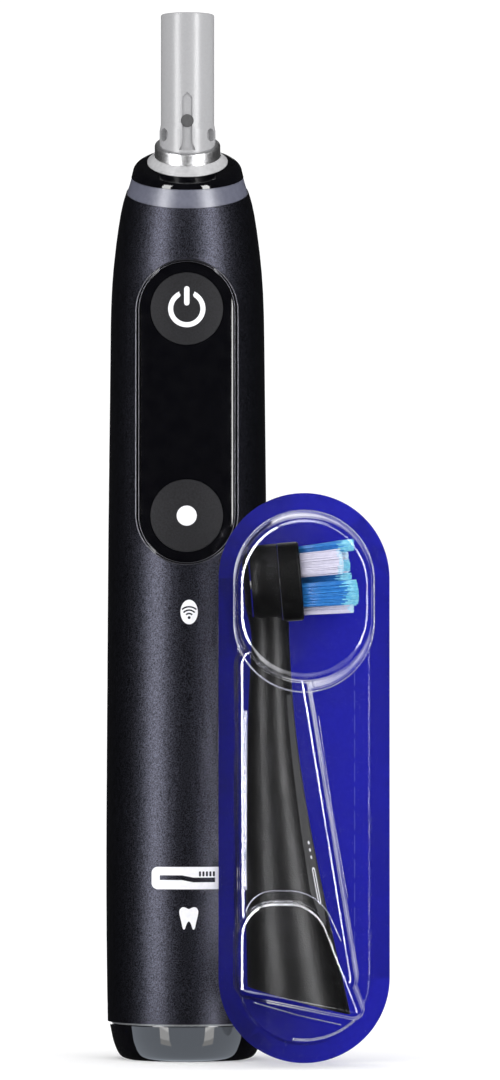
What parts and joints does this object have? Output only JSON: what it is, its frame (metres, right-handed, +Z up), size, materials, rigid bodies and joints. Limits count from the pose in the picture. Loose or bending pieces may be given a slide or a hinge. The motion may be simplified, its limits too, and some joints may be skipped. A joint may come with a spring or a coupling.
{
  "type": "electric toothbrush handle with packed brush head",
  "caption": "Slim upright toothbrush handle with a button panel and a bare drive post, beside a spare brush head in a clear blister on a round-ended card.",
  "frame": {"origin": "centre of the charging socket's mouth, in the middle of the handle's flat base", "axes": "+Z up the handle and out of the neck post, -Y out of the display side, +X towards the packed brush head"},
  "size_m": [0.051, 0.0489, 0.1893],
  "materials": {
    "shell": "satin dark blue-black with a fine metallic grain",
    "light_ring": "satin translucent lilac-grey",
    "black_gloss": "piano black",
    "grey_seal": "light grey satin",
    "steel": "plain bright steel",
    "grey_plastic": "smooth light grey",
    "dark_rubber": "matte black",
    "copper": "enamelled copper wire",
    "ferrite": "matte dark grey",
    "bezel": "black with a bright bevel",
    "display": "unlit display glass",
    "board": "green solder mask",
    "chip": "moulded black",
    "inner_plastic": "unpainted moulding",
    "battery": "shrink sleeve",
    "nickel": "nickel strip",
    "lamp": "clear lamp",
    "magnet": "plated magnet",
    "card": "printed deep blue",
    "clear_film": "clear thermoformed film",
    "button": "matte dark grey",
    "white_ink": "white inlay",
    "head_plastic": "fine-grained anthracite",
    "bristle_blue": "bright blue filament",
    "bristle_white": "white filament"
  },
  "bodies": {
    "handle": {"handle_shell": "shell", "light_ring": "light_ring", "neck_collar": "black_gloss", "neck_gasket": "grey_seal", "seat_ring": "steel", "neck_post": "grey_plastic", "post_plug": "dark_rubber", "base_cap": "black_gloss", "base_seal": "dark_rubber", "charge_coil": "copper", "ferrite_core": "ferrite", "panel_bezel": "bezel", "panel_lens": "black_gloss", "display_module": "display", "circuit_board": "board", "board_components": "chip", "tact_switches": "chip", "board_screws": "steel", "chassis": "inner_plastic", "battery_cell": "battery", "battery_tabs": "nickel", "motor_housing": "steel", "bearing_plates": "inner_plastic", "stator_coil": "copper", "lower_spring": "steel", "upper_spring": "steel", "shaft_seal": "dark_rubber", "ring_board": "board", "ring_lamps": "lamp"},
    "drive": {"drive_shaft": "steel", "armature_magnet": "magnet", "armature_poles": "steel", "drive_magnet": "magnet"},
    "power_button": {"power_button": "button", "power_symbol": "white_ink"},
    "mode_button": {"mode_button": "button", "mode_symbol": "white_ink"},
    "pack": {"backing_card": "card"},
    "blister": {"blister": "clear_film"},
    "brush_head": {"head_body": "head_plastic", "head_sleeve": "grey_plastic", "carrier_pin": "steel"},
    "bristles": {"bristle_carrier": "head_plastic", "blue_tufts": "bristle_blue", "white_tufts": "bristle_white"},
    "link": {"link_rod": "grey_plastic", "rod_coupler": "steel"}
  },
  "joints": [
    {"name": "drive_stroke", "type": "slide", "parent": "handle", "child": "drive", "axis": [0, 0, 1], "range_m": [-0.001, 0.001], "stiffness_N_per_m": 2000, "deforming": ["lower_spring", "upper_spring"]},
    {"name": "power_press", "type": "slide", "parent": "handle", "child": "power_button", "axis": [0, 1, 0], "range_m": [0, 0.0004], "stiffness_N_per_m": 2000},
    {"name": "mode_press", "type": "slide", "parent": "handle", "child": "mode_button", "axis": [0, 1, 0], "range_m": [0, 0.0004], "stiffness_N_per_m": 2000},
    {"name": "pack_slide", "type": "slide", "parent": "handle", "child": "pack", "axis": [1, 0, 0], "range_m": [0, 0.03]},
    {"name": "blister_lift", "type": "slide", "parent": "pack", "child": "blister", "axis": [0, -1, 0], "range_m": [0, 0.04]},
    {"name": "head_lift", "type": "slide", "parent": "pack", "child": "brush_head", "axis": [0, -1, 0], "range_m": [0, 0.02]},
    {"name": "carrier_turn", "type": "hinge", "parent": "brush_head", "child": "bristles", "pos_m": [0.013, -0.0246, 0.0854], "axis": [0.9965, 0, 0.0837], "range_deg": [-17, 17]},
    {"name": "rod_stroke", "type": "slide", "parent": "brush_head", "child": "link", "axis": [-0.0837, 0, 0.9965], "range_m": [-0.00089, 0.00089]}
  ],
  "couplings": [
    {"joint": "head_lift", "follows": "blister_lift", "ratio": 0.5},
    {"joint": "carrier_turn", "follows": "rod_stroke", "rad_per_m": 333.33}
  ]
}
